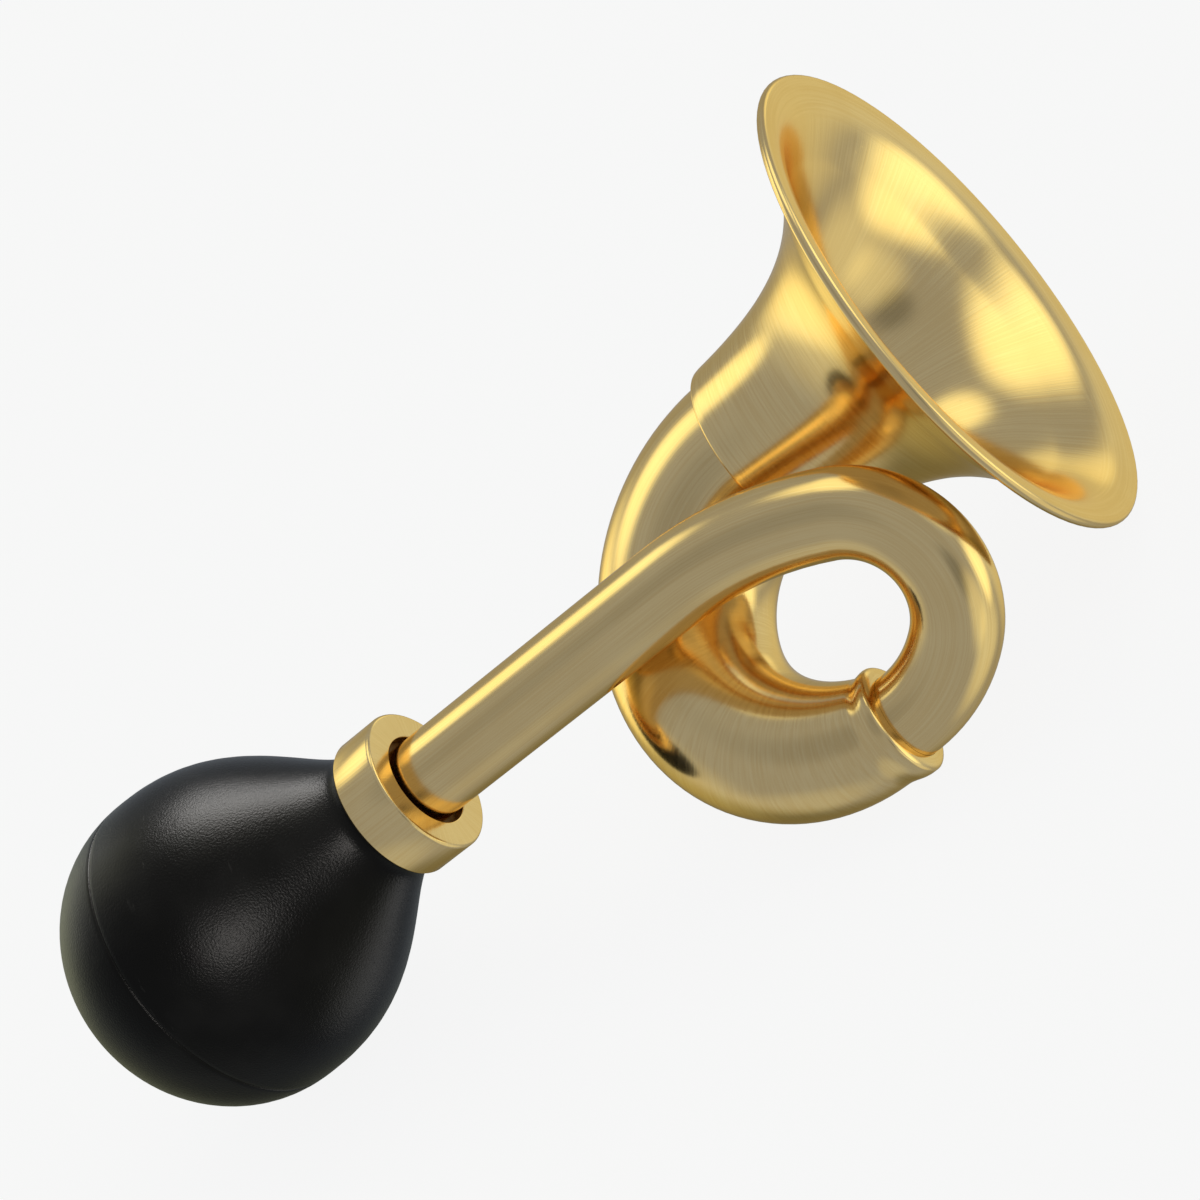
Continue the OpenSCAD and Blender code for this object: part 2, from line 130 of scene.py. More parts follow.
class Shell:
    """A round shell grown ring by ring: its open end is extruded or spun, then given its new radius."""

    def __init__(self, name, centre, radius, heading):
        bpy.ops.object.select_all(action="DESELECT")
        facing = Vector(heading).to_track_quat("Z", "Y").to_euler()
        bpy.ops.mesh.primitive_circle_add(
            vertices=RING_SIDES, radius=radius, location=centre, rotation=facing
        )
        self.piece = bpy.context.object
        self.piece.name = name
        bpy.ops.object.transform_apply(location=True, rotation=True, scale=True)
        bpy.ops.object.mode_set(mode="EDIT")
        bpy.ops.mesh.select_all(action="SELECT")
        self.centre = Vector(centre)
        self.radius = radius
        self.heading = Vector(heading)
        self.side = Vector((0, 0, 1))
        self.path = 0.0
        self.rings = []
        self.note_ring()

    def note_ring(self):
        self.rings.append((self.centre.copy(), self.heading.copy(), self.side.copy(), self.path))

    def set_radius(self, radius):
        """The open end takes its new radius, about its own middle."""
        if radius != self.radius:
            ratio = radius / self.radius
            bpy.ops.transform.resize(value=(ratio, ratio, ratio), center_override=self.centre)
        self.radius = radius

    def extend(self, length, radius=None):
        """A straight step of the open end."""
        new_radius = self.radius if radius is None else radius
        step = self.heading * length
        bpy.ops.mesh.extrude_edges_move(TRANSFORM_OT_translate={"value": step})
        self.centre += step
        self.path += math.hypot(length, new_radius - self.radius)
        self.set_radius(new_radius)
        self.note_ring()

    def straight(self, length):
        steps = math.ceil(length / STRAIGHT_STEP)
        for _ in range(steps):
            self.extend(length / steps)

    def turn(self, pivot, axis, angle, radius=None):
        """One step of a bend about an axis through the pivot; the spin tool counts angles the other way."""
        bpy.ops.mesh.spin(steps=1, angle=-angle, center=pivot, axis=axis)
        turned = Matrix.Rotation(angle, 3, axis)
        self.path += abs(angle) * (self.centre - pivot).length
        self.centre = pivot + turned @ (self.centre - pivot)
        self.heading = turned @ self.heading
        self.side = turned @ self.side
        self.set_radius(self.radius if radius is None else radius)
        self.note_ring()

    def bend_to(self, centre, heading, axis, radius):
        """One step of a bend to a given middle and heading, as an arc between the two places."""
        chord = centre - self.centre
        angle = math.atan2(self.heading.cross(heading).dot(axis), self.heading.dot(heading))
        pivot = (self.centre + centre) / 2 + axis.cross(chord) / (2 * math.tan(angle / 2))
        self.turn(pivot, axis, angle, radius)

    def follow(self, profile):
        """A turned profile of (x, radius) points along the horn's axis."""
        for x, radius in profile:
            self.extend((x - self.centre.x) * self.heading.x, radius)

    def close_between_ends(self):
        """The profile's last ring is joined to its first."""
        bpy.ops.mesh.select_all(action="DESELECT")
        bpy.ops.mesh.select_non_manifold()
        bpy.ops.mesh.bridge_edge_loops()

    def close_with_pole(self):
        """The last ring shrinks to a point, and the first gets a flat lid."""
        bpy.ops.mesh.merge(type="CENTER")
        bpy.ops.mesh.select_all(action="DESELECT")
        bpy.ops.mesh.select_non_manifold()
        bpy.ops.mesh.edge_face_add()

    def mark_wrap(self):
        """Each point keeps its direction round the shell and its distance along it, for the brushing."""
        bpy.ops.object.mode_set(mode="OBJECT")
        mesh = self.piece.data
        wrap = mesh.attributes.new("wrap", "FLOAT_VECTOR", "POINT")
        for vertex in mesh.vertices:
            centre, heading, side, path = self.rings[vertex.index // RING_SIDES]
            spoke = (vertex.co - centre).normalized()
            up = heading.cross(side)
            wrap.data[vertex.index].vector = (spoke.dot(side), spoke.dot(up), path)
        bpy.ops.object.mode_set(mode="EDIT")

    def finish(self, wall=None):
        """Normals face outwards, an open shell gets its wall, and the mesh moves to the row's frame."""
        bpy.ops.mesh.select_all(action="SELECT")
        bpy.ops.mesh.normals_make_consistent(inside=False)
        bpy.ops.object.mode_set(mode="OBJECT")
        piece = self.piece
        if wall is not None:
            thick = piece.modifiers.new("wall", "SOLIDIFY")
            thick.thickness = wall
            thick.offset = -1
            bpy.ops.object.modifier_apply(modifier="wall")
        bpy.ops.object.shade_smooth_by_angle(angle=SMOOTH_ANGLE)
        piece.data.transform(HORN)
        return piece


def arc_points(centre, radius, start, end, steps):
    """Points of a circle's arc from one angle in degrees to another, the first one left out."""
    points = []
    for step in range(1, steps + 1):
        angle = math.radians(start + (end - start) * step / steps)
        points.append((centre[0] + radius * math.cos(angle), centre[1] + radius * math.sin(angle)))
    return points


def mouthpipe_frame():
    """The pivots of the mouthpipe's bends, and the place where it ends."""
    place = Vector((STRAIGHT_LENGTH, 0, 0))
    turned = 0.0
    pivots = []
    for radius, degrees in MOUTHPIPE_BENDS:
        pivot = place + Vector((-math.sin(turned), math.cos(turned), 0)) * radius
        turned += math.radians(degrees)
        pivots.append(pivot)
        place = pivot - Vector((-math.sin(turned), math.cos(turned), 0)) * radius
    return pivots, place


def make_mouthpipe():
    pivots, _ = mouthpipe_frame()
    shell = Shell("mouthpipe_tube", (TUBE_START, 0, 0), TUBE_D / 2, (1, 0, 0))
    shell.straight(STRAIGHT_LENGTH - TUBE_START)
    for pivot, (_, degrees) in zip(pivots, MOUTHPIPE_BENDS):
        angle = math.radians(degrees)
        steps = math.ceil(angle / BEND_STEP)
        for _ in range(steps):
            shell.turn(pivot, Vector((0, 0, 1)), angle / steps)
    shell.straight(REAR_SOCKET)
    shell.mark_wrap()
    return shell.finish(TUBE_WALL)


def rear_side():
    """The direction in which the rear bend leads from the tube to the bell."""
    return Vector((0, -math.cos(REAR_TWIST), math.sin(REAR_TWIST)))


def rear_angle(path):
    """How far the rear bend has turned at a distance along it: its first quarter is longer by the socket."""
    last = math.pi / 2 * REAR_BEND_R
    first = REAR_SOCKET + last
    return math.pi / 2 * (path / first if path < first else 1 + (path - first) / last)


def rear_place(path):
    """The middle of the rear bend and its heading at a distance along it."""
    _, tube_end = mouthpipe_frame()
    angle = rear_angle(path)
    depth = REAR_BEND_R + (REAR_SOCKET if angle < math.pi / 2 else 0)
    back = REAR_SOCKET + REAR_BEND_R - depth * (1 - math.sin(angle))
    centre = tube_end + Vector((-back, 0, 0)) + rear_side() * REAR_BEND_R * (1 - math.cos(angle))
    heading = Vector((-depth * math.cos(angle), 0, 0)) + rear_side() * REAR_BEND_R * math.sin(angle)
    return centre, heading.normalized()


def rear_bore_r(path):
    """The rear bend's bore, which swells from the tube's width to the bell's throat."""
    small = TUBE_D / 2 + SOLDER_GAP
    swollen = 1 - (1 - rear_angle(path) / math.pi) ** REAR_SWELL
    return small + (REAR_OUT_D / 2 - REAR_WALL - small) * swollen


def rear_outer_r(path):
    """The outside, with a lip that has a rounded front and fades into the bend."""
    plain = rear_bore_r(path) + REAR_WALL
    full_rise = REAR_LIP_D / 2 - rear_bore_r(0) - REAR_WALL
    past = min(1.0, max(0.0, (path - REAR_LIP_FRONT) / REAR_LIP_FADE))
    return plain + full_rise * math.cos(math.pi / 2 * past) ** 2


def lip_front():
    """Points of the lip's rounded front, from the tube's surface to its full width."""
    bore = rear_bore_r(0)
    height = rear_outer_r(REAR_LIP_FRONT) - bore
    steps = 12
    points = []
    for step in range(1, steps + 1):
        angle = math.pi / 2 * step / steps
        points.append((REAR_LIP_FRONT * (1 - math.cos(angle)), bore + height * math.sin(angle)))
    return points


def make_rear_bend():
    """The outside is grown from the lip to the bell, and the bore back to the lip."""
    _, tube_end = mouthpipe_frame()
    heading = Vector((-1, 0, 0))
    shell = Shell("rear_bend_tube", tube_end, rear_bore_r(0), heading)
    placed = 0.0
    for path, radius in lip_front():
        shell.extend(path - placed, radius)
        placed = path
    axis = heading.cross(rear_side())
    turn_length = REAR_SOCKET + math.pi * REAR_BEND_R
    fade_steps = 12
    fade_end = REAR_LIP_FRONT + REAR_LIP_FADE
    steps = math.ceil(math.pi / BEND_STEP)
    paths = [REAR_LIP_FRONT + REAR_LIP_FADE * step / fade_steps for step in range(1, fade_steps + 1)]
    paths += [fade_end + (turn_length - fade_end) * step / steps for step in range(1, steps)]
    for path in paths:
        shell.bend_to(*rear_place(path), axis, rear_outer_r(path))
    shell.bend_to(*rear_place(turn_length), axis, rear_outer_r(turn_length))
    shell.straight(BELL_SOCKET)
    shell.extend(0, rear_bore_r(turn_length))
    shell.extend(-BELL_SOCKET)
    for path in reversed(paths):
        shell.bend_to(*rear_place(path), axis, rear_bore_r(path))
    shell.mark_wrap()
    shell.close_between_ends()
    return shell.finish()


def flare_r(share):
    """The bell's outer radius at a share of its length."""
    neck = BELL_NECK_D / 2
    rim = BELL_MOUTH_D / 2 - RIM_BEAD_D / 2
    return neck + (rim - neck) * math.expm1(BELL_FLARE * share) / math.expm1(BELL_FLARE)


def flare_point(share):
    """A point of the bell's outside, with the flare laid flatter near the rim."""
    rim = flare_r(1)
    radius = flare_r(share)
    lip = min(1.0, max(0.0, (radius - BELL_LIP_FROM_R) / (rim - BELL_LIP_FROM_R)))
    lift = BELL_LIP_LIFT * math.sin(math.pi * lip ** BELL_LIP_POWER)
    return share * (BELL_LENGTH - RIM_BEAD_D / 2) + lift, radius


def bell_profile(start_x):
    """The bell's outline from its socket over the outside and the rolled rim to the inside."""
    socket_r = REAR_OUT_D / 2 + SOLDER_GAP
    neck_r = BELL_NECK_D / 2
    bead_r = RIM_BEAD_D / 2
    flare_steps = 96
    under_bead = 2
    edge_end = BELL_EDGE_R * 1.5
    socket_end = BELL_SOCKET + 1.5
    step = 1 / flare_steps
    profile = [(BELL_SOCKET + SOLDER_GAP, socket_r), (0.0, socket_r), (0.0, neck_r - BELL_EDGE_R)]
    profile += arc_points((BELL_EDGE_R, neck_r - BELL_EDGE_R), BELL_EDGE_R, 180, 90, steps=6)
    outside = []
    inside = []
    for number in range(flare_steps + 1):
        x, radius = flare_point(number * step)
        x_before, r_before = flare_point(max(0.0, (number - 0.5) * step))
        x_after, r_after = flare_point(min(1.0, (number + 0.5) * step))
        lean = math.atan2(r_after - r_before, x_after - x_before)
        outside.append((x, radius))
        inside.append((x + BELL_WALL * math.sin(lean), radius - BELL_WALL * math.cos(lean)))
    rim_lean = math.degrees(lean)
    profile += [point for point in outside if point[0] > edge_end][:-under_bead]
    profile += arc_points(outside[-1], bead_r, rim_lean + 180, rim_lean - 90, steps=24)
    profile += [point for point in reversed(inside[:-under_bead]) if point[0] > socket_end]
    return [(start_x + x, radius) for x, radius in profile]


def make_bell():
    _, tube_end = mouthpipe_frame()
    start = tube_end + Vector((-REAR_SOCKET, 0, 0)) + rear_side() * 2 * REAR_BEND_R
    shoulder_r = REAR_OUT_D / 2 + SOLDER_GAP - REAR_WALL
    first = start + Vector((BELL_SOCKET + SOLDER_GAP, 0, 0))
    shell = Shell("bell_flare", first, shoulder_r, (1, 0, 0))
    shell.follow(bell_profile(start.x))
    shell.mark_wrap()
    shell.close_between_ends()
    return shell.finish()


def make_collar():
    hole_r = COLLAR_HOLE_D / 2
    outer_r = COLLAR_D / 2
    edge = COLLAR_EDGE_R
    back = -COLLAR_LENGTH
    thread_r = COLLAR_THREAD_D / 2
    hole_edge = COLLAR_HOLE_EDGE
    profile = [(-hole_edge, hole_r)]
    profile += arc_points((-hole_edge, hole_r + hole_edge), hole_edge, -90, 0, steps=4)
    profile += [(0.0, outer_r - edge - COLLAR_FACE_RING), (0.0, outer_r - edge)]
    profile += arc_points((-edge, outer_r - edge), edge, 0, 90, steps=8)
    profile += arc_points((back + edge, outer_r - edge), edge, 90, 180, steps=8)
    profile += [(back, thread_r), (-COLLAR_FRONT, thread_r)]
    shell = Shell("collar_nut", (-COLLAR_FRONT, 0, 0), hole_r, (1, 0, 0))
    shell.follow(profile)
    shell.mark_wrap()
    shell.close_between_ends()
    return shell.finish()


def bulb_r(x):
    """The bulb's radius at a place along its axis."""
    if x > BULB_BELLY_X:
        share = (BULB_NECK_X - x) / (BULB_NECK_X - BULB_BELLY_X)
        rise = (1 - (1 - share) ** SHOULDER_FULL) ** NECK_HOLLOW
        return BULB_NECK_D / 2 + (BULB_D - BULB_NECK_D) / 2 * rise
    return BULB_D / 2 * math.sqrt(max(0, 1 - ((BULB_BELLY_X - x) / BULB_TAIL) ** 2))


def cuff_r(x):
    """How far the cuff that meets the collar stands out from the neck."""
    return CUFF_HEIGHT * max(0, 1 - (BULB_NECK_X - x) / CUFF_LENGTH) ** 2


def bulb_profile():
    """The bulb's outline from inside its neck to the pole of its tail, with the seam's groove."""
    cuff_x = BULB_NECK_X - CUFF_EDGE
    front_r = bulb_r(cuff_x) + cuff_r(cuff_x)
    bore_r = NIPPLE_D / 2 + NIPPLE_GAP
    profile = [(BULB_NECK_X, bore_r), (BULB_NECK_X, front_r - CUFF_EDGE)]
    profile += arc_points((cuff_x, front_r - CUFF_EDGE), CUFF_EDGE, 0, 90, steps=5)
    cuff_end = BULB_NECK_X - CUFF_LENGTH
    seam_start = SEAM_X + SEAM_HALF
    cuff_steps = 10
    shoulder_steps = 60
    stations = [cuff_x + (cuff_end - cuff_x) * step / cuff_steps for step in range(1, cuff_steps)]
    stations += [cuff_end + (seam_start - cuff_end) * step / shoulder_steps for step in range(shoulder_steps)]
    profile += [(x, bulb_r(x) + cuff_r(x)) for x in stations]
    groove_steps = 8
    for step in range(groove_steps + 1):
        off = 2 * step / groove_steps - 1
        x = SEAM_X - SEAM_HALF * off
        profile.append((x, bulb_r(x) - SEAM_DEPTH * (1 - off * off) ** 2))
    tail_steps = 48
    start = math.asin((BULB_BELLY_X - SEAM_X + SEAM_HALF) / BULB_TAIL)
    for step in range(1, tail_steps):
        angle = start + (math.pi / 2 - start) * step / tail_steps
        profile.append((BULB_BELLY_X - BULB_TAIL * math.sin(angle), BULB_D / 2 * math.cos(angle)))
    profile.append((BULB_BELLY_X - BULB_TAIL, TAIL_POLE_R))
    return profile


def make_bulb():
    shell = Shell("bulb_rubber", (NIPPLE_BACK_X, 0, 0), NIPPLE_D / 2 + NIPPLE_GAP, (-1, 0, 0))
    shell.follow(bulb_profile())
    shell.mark_wrap()
    shell.close_with_pole()
    return shell.finish()


class Value:
    """A number in a node tree that takes part in ordinary sums."""

    def __init__(self, tree, socket):
        self.tree = tree
        self.socket = socket

    def sum_of(self, operation, first, second):
        node = self.tree.nodes.new("ShaderNodeMath")
        node.operation = operation
        for place, term in enumerate((first, second)):
            if isinstance(term, Value):
                self.tree.links.new(term.socket, node.inputs[place])
            else:
                node.inputs[place].default_value = term
        return Value(self.tree, node.outputs[0])

    def __add__(self, other):
        return self.sum_of("ADD", self, other)

    def __radd__(self, other):
        return self.sum_of("ADD", other, self)

    def __sub__(self, other):
        return self.sum_of("SUBTRACT", self, other)

    def __rsub__(self, other):
        return self.sum_of("SUBTRACT", other, self)

    def __mul__(self, other):
        return self.sum_of("MULTIPLY", self, other)

    def __rmul__(self, other):
        return self.sum_of("MULTIPLY", other, self)


class NodeTree:
    """Adds nodes to a tree from plain values and linked values."""

    def __init__(self, tree):
        self.tree = tree

    def feed(self, socket, value):
        if isinstance(value, Value):
            self.tree.links.new(value.socket, socket)
        else:
            socket.default_value = value

    def node(self, kind, output, settings, inputs):
        node = self.tree.nodes.new(kind)
        for name, setting in settings.items():
            setattr(node, name, setting)
        for name, value in inputs.items():
            self.feed(node.inputs[name], value)
        return Value(self.tree, node.outputs[output])

    def stretched(self, place, stretch):
        """A place multiplied by a different factor in each direction."""
        return self.node("ShaderNodeVectorMath", 0, {"operation": "MULTIPLY"}, {0: place, 1: stretch})

    def noise(self, place, scale, detail):
        return self.node(
            "ShaderNodeTexNoise", "Fac", {}, {"Vector": place, "Scale": scale, "Detail": detail}
        )

    def ramp(self, value, low, high):
        """A smooth step of a value from 0 at low to 1 at high."""
        settings = {"interpolation_type": "SMOOTHSTEP"}
        return self.node("ShaderNodeMapRange", 0, settings, {0: value, 1: low, 2: high})

    def blend(self, share, first, second):
        """A colour between two others."""
        settings = {"data_type": "RGBA"}
        return self.node("ShaderNodeMix", 2, settings, {0: share, 6: first, 7: second})


class Finish(NodeTree):
    """A material with one Principled shader."""

    def __init__(self, name):
        self.material = bpy.data.materials.new(name)
        self.material.use_nodes = True
        super().__init__(self.material.node_tree)
        self.shader = self.tree.nodes["Principled BSDF"]

    def set(self, name, value):
        self.feed(self.shader.inputs[name], value)

    def wrap(self):
        return self.node("ShaderNodeAttribute", "Vector", {"attribute_name": "wrap"}, {})

    def place(self):
        return self.node("ShaderNodeTexCoord", "Object", {}, {})

    def bump(self, height, strength, depth):
        inputs = {"Height": height, "Strength": strength, "Distance": depth}
        self.set("Normal", self.node("ShaderNodeBump", "Normal", {}, inputs))


# Where noise lies on average, so that what it adds evens out
NOISE_MIDDLE = 0.5

# Brass: colours, brushing and roughness; streaks are stretched noise round and along a piece
BRASS_LIGHT = (0.90, 0.65, 0.31, 1)
BRASS_DEEP = (0.84, 0.58, 0.255, 1)
BRASS_EDGE = (1.0, 0.82, 0.52, 1)
# Dark brass colours painted as shade: on the collar's hole wall and on the reed socket behind it
BRASS_PAINTED_SHADE = (0.25, 0.14, 0.055, 1)
PAINTED_SHADE_DEEP = (0.15, 0.08, 0.03, 1)
LENGTHWISE_STRETCH = 0.035
CROSSWISE_STRETCH = (1.8, 1.8, 2.4)
STREAK_DETAIL = 4.0
STREAK_SHARE = 0.6
CLOUD_SCALE = 45.0
CLOUD_SHARE = 0.4
SPECK_SCALE = 900.0
SPECKS_BETWEEN = (0.66, 0.74)
DEEP_BETWEEN = (0.62, 0.38)
BRASS_ROUGHNESS = 0.17
STREAK_ROUGHNESS = 0.10
CLOUD_ROUGHNESS = 0.06
SPECK_ROUGHNESS = 0.06
BRUSH_STRENGTH = 0.09
BRUSH_DEPTH = 0.0001

# Streaks round each piece, and distances along it in millimetres at which its brushing or its painted shade
# changes
MOUTHPIPE_STREAKS = 38.0
REAR_STREAKS = 46.0
REAR_BRUSH_TURNS = (55.0, 85.0)
BELL_STREAKS = 120.0
BELL_BRUSH_TURNS = (86.0, 92.0)
COLLAR_STREAKS = 46.0
# The collar's hole wall gets painted shade, fading out between these distances along its profile at the
# hole's edge
COLLAR_PAINTED_SHADE_ENDS = (1.6, 2.2)

# Rubber: colours, dull patches, grain and fine scratches
RUBBER_DARK = (0.0022, 0.0021, 0.0019, 1)
RUBBER_WORN = (0.005, 0.0048, 0.0044, 1)
RUBBER_SHEEN = (1.0, 0.95, 0.90, 1)
RUBBER_GLOSS = 0.06
RUBBER_ROUGHNESS = 0.31
DULL_SCALE = 60.0
DULL_BETWEEN = (0.35, 0.75)
DULL_SHARE = 0.6
DULL_ROUGHNESS = 0.12
GRAIN_SCALE = 2300.0
GRAIN_STRENGTH = 0.32
GRAIN_DEPTH = 0.00025
SCRATCH_STRETCH = (900.0, 90.0, 260.0)
SCRATCHES_BETWEEN = (0.72, 0.76)
SCRATCH_SHARE = 0.4
SCRATCH_ROUGHNESS = 0.12
SCRATCH_HEIGHT = 0.4

# Metals inside the horn: light and deep colour, then roughness
TURNED_BRASS = ((0.80, 0.62, 0.25, 1), (0.70, 0.50, 0.18, 1), 0.24)
REED_BRASS = ((0.78, 0.58, 0.24, 1), (0.66, 0.46, 0.17, 1), 0.3)
# The reed socket's brass is painted dark as shade, for the dark gap round the tube in the collar's hole
PAINTED_SHADE_BRASS = (BRASS_PAINTED_SHADE, PAINTED_SHADE_DEEP, 0.5)
STEEL = ((0.56, 0.57, 0.58, 1), (0.42, 0.42, 0.43, 1), 0.32)
MARK_SCALE = 700.0
MARKS_BETWEEN = (0.35, 0.7)
MARK_ROUGHNESS = 0.15

# Leather of the washer
LEATHER_DARK = (0.16, 0.075, 0.03, 1)
LEATHER_PALE = (0.28, 0.15, 0.07, 1)
LEATHER_ROUGHNESS = 0.75
PORE_SCALE = 2200.0
PORE_ROUGHNESS = 0.2
PORE_STRENGTH = 0.4
PORE_DEPTH = 0.0002


def brushed_brass(name, count, across=None, painted_shade=None):
    """Satin brass, brushed lengthwise with so many streaks; across names the distances along the piece
    between which crosswise brushing gives way to lengthwise, and painted_shade those at which dark
    brass painted as shade gives way to clean."""
    finish = Finish(name)
    wrap = finish.wrap()
    path = finish.node("ShaderNodeSeparateXYZ", "Z", {}, {"Vector": wrap})
    place = finish.place()
    streaks = finish.noise(finish.stretched(wrap, (count, count, LENGTHWISE_STRETCH)), 1.0, STREAK_DETAIL)
    if across is not None:
        crosswise = finish.noise(finish.stretched(wrap, CROSSWISE_STRETCH), 1.0, STREAK_DETAIL)
        share = finish.ramp(path, *across)
        streaks = crosswise + (streaks - crosswise) * share
    clouds = finish.noise(place, CLOUD_SCALE, 3.0)
    specks = finish.ramp(finish.noise(place, SPECK_SCALE, 2.0), *SPECKS_BETWEEN)
    depth = streaks * STREAK_SHARE + clouds * CLOUD_SHARE
    colour = finish.blend(finish.ramp(depth, *DEEP_BETWEEN), BRASS_LIGHT, BRASS_DEEP)
    # Painted shade: dark brass where the path is short, fading into the brushed colour
    if painted_shade is not None:
        colour = finish.blend(finish.ramp(path, *painted_shade), BRASS_PAINTED_SHADE, colour)
    roughness = BRASS_ROUGHNESS + (streaks - NOISE_MIDDLE) * STREAK_ROUGHNESS
    roughness += (clouds - NOISE_MIDDLE) * CLOUD_ROUGHNESS
    roughness += specks * SPECK_ROUGHNESS
    finish.set("Base Color", colour)
    finish.set("Metallic", 1.0)
    finish.set("Specular Tint", BRASS_EDGE)
    finish.set("Roughness", roughness)
    finish.bump(streaks, BRUSH_STRENGTH, BRUSH_DEPTH)
    return finish.material


def black_rubber():
    finish = Finish("black rubber")
    place = finish.place()
    grain = finish.noise(place, GRAIN_SCALE, 2.0)
    dull = finish.noise(place, DULL_SCALE, 4.0)
    scuffs = finish.noise(finish.stretched(place, SCRATCH_STRETCH), 1.0, 2.0)
    scratch = finish.ramp(scuffs, *SCRATCHES_BETWEEN)
    tone = finish.ramp(dull, *DULL_BETWEEN) * DULL_SHARE + scratch * SCRATCH_SHARE
    roughness = RUBBER_ROUGHNESS + (dull - NOISE_MIDDLE) * DULL_ROUGHNESS
    roughness += scratch * SCRATCH_ROUGHNESS
    finish.set("Base Color", finish.blend(tone, RUBBER_DARK, RUBBER_WORN))
    finish.set("Roughness", roughness)
    finish.set("Specular IOR Level", RUBBER_GLOSS)
    finish.set("Specular Tint", RUBBER_SHEEN)
    finish.bump(grain + scratch * SCRATCH_HEIGHT, GRAIN_STRENGTH, GRAIN_DEPTH)
    return finish.material


def plain_metal(name, colour, deep, roughness):
    """A machined metal that is seen only when the horn is taken apart."""
    finish = Finish(name)
    marks = finish.noise(finish.place(), MARK_SCALE, 3.0)
    finish.set("Base Color", finish.blend(finish.ramp(marks, *MARKS_BETWEEN), colour, deep))
    finish.set("Metallic", 1.0)
    finish.set("Roughness", roughness + (marks - NOISE_MIDDLE) * MARK_ROUGHNESS)
    return finish.material


def washer_leather():
    finish = Finish("washer leather")
    pores = finish.noise(finish.place(), PORE_SCALE, 4.0)
    finish.set("Base Color", finish.blend(pores, LEATHER_DARK, LEATHER_PALE))
    finish.set("Roughness", LEATHER_ROUGHNESS + (pores - NOISE_MIDDLE) * PORE_ROUGHNESS)
    finish.bump(pores, PORE_STRENGTH, PORE_DEPTH)
    return finish.material


def dress(piece, material):
    """The piece shows this one material."""
    piece.data.materials.clear()
    piece.data.materials.append(material)


def fit(piece, body, nodes):
    """The piece rides on its body and stands for the part's solids."""
    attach(piece, body)
    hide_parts(*nodes)


def build_horn():
    mouthpipe = make_mouthpipe()
    dress(mouthpipe, brushed_brass("mouthpipe brass", MOUTHPIPE_STREAKS))
    fit(mouthpipe, "horn", ["mouthpipe"])
    rear_bend = make_rear_bend()
    dress(rear_bend, brushed_brass("rear bend brass", REAR_STREAKS, REAR_BRUSH_TURNS))
    fit(rear_bend, "horn", ["rear_bend"])
    bell = make_bell()
    dress(bell, brushed_brass("bell brass", BELL_STREAKS, BELL_BRUSH_TURNS))
    fit(bell, "horn", ["bell"])
    collar = make_collar()
    # The collar's hole wall gets painted shade, a dark brass colour
    dress(collar, brushed_brass("collar brass", COLLAR_STREAKS, painted_shade=COLLAR_PAINTED_SHADE_ENDS))
    fit(collar, "collar", ["collar"])
    bulb = make_bulb()
    dress(bulb, black_rubber())
    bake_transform(bulb)
    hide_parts("bulb_front", "bulb_rear")
    return bulb


def dress_hidden_pieces():
    """The solids that stay as they are get their finishes."""
    turned_brass = plain_metal("turned brass", *TURNED_BRASS)
    reed_brass = plain_metal("reed brass", *REED_BRASS)
    # Painted shade: the reed socket gets dark brass, for the gap in the collar's hole
    shade_painted_brass = plain_metal("tarnished brass", *PAINTED_SHADE_BRASS)
    steel = plain_metal("rim and screw steel", *STEEL)
    finishes = {
        "bell_rim_wire": steel,
        "reed_screws": steel,
        "reed_socket": shade_painted_brass,
        "bulb_nipple": turned_brass,
        "reed_body": reed_brass,
        "reed_tongue": reed_brass,
        "reed_plate": reed_brass,
        "sealing_washer": washer_leather(),
    }
    for node, material in finishes.items():
        dress(frame["nodes"][node], material)


# Camera: the photo's viewing angle, rolled so that the horn stands as in the photo
CAMERA_AIM = Vector((0.01964, -0.0050, 0.04584))
CAMERA_DISTANCE = 0.655
CAMERA_AZIMUTH = math.radians(-64.76)
CAMERA_ELEVATION = math.radians(27.94)
CAMERA_ROLL = math.radians(-43.56)
CAMERA_LENS = 96.0
CAMERA_SENSOR = 36.0


def heading_of(azimuth, elevation):
    level = math.cos(elevation)
    return Vector((level * math.cos(azimuth), level * math.sin(azimuth), math.sin(elevation)))


def camera_axes():
    """The camera's right, up and backward directions in the row's frame."""
    back = heading_of(CAMERA_AZIMUTH, CAMERA_ELEVATION)
    level_right = Vector((0, 0, 1)).cross(back).normalized()
    level_up = back.cross(level_right)
    right = level_right * math.cos(CAMERA_ROLL) + level_up * math.sin(CAMERA_ROLL)
    return right, back.cross(right), back


def from_camera(shares):
    """A direction given as shares of the camera's right, up and back."""
    right, up, back = camera_axes()
    return (right * shares[0] + up * shares[1] + back * shares[2]).normalized()


def set_camera():
    right, up, back = camera_axes()
    lens = bpy.data.cameras.new("photo camera")
    lens.lens = CAMERA_LENS
    lens.sensor_width = CAMERA_SENSOR
    camera = bpy.data.objects.new("photo camera", lens)
    bpy.context.scene.collection.objects.link(camera)
    turned = Matrix((right, up, back)).transposed().to_4x4()
    camera.matrix_world = Matrix.Translation(CAMERA_AIM + back * CAMERA_DISTANCE) @ turned
    bpy.context.scene.camera = camera


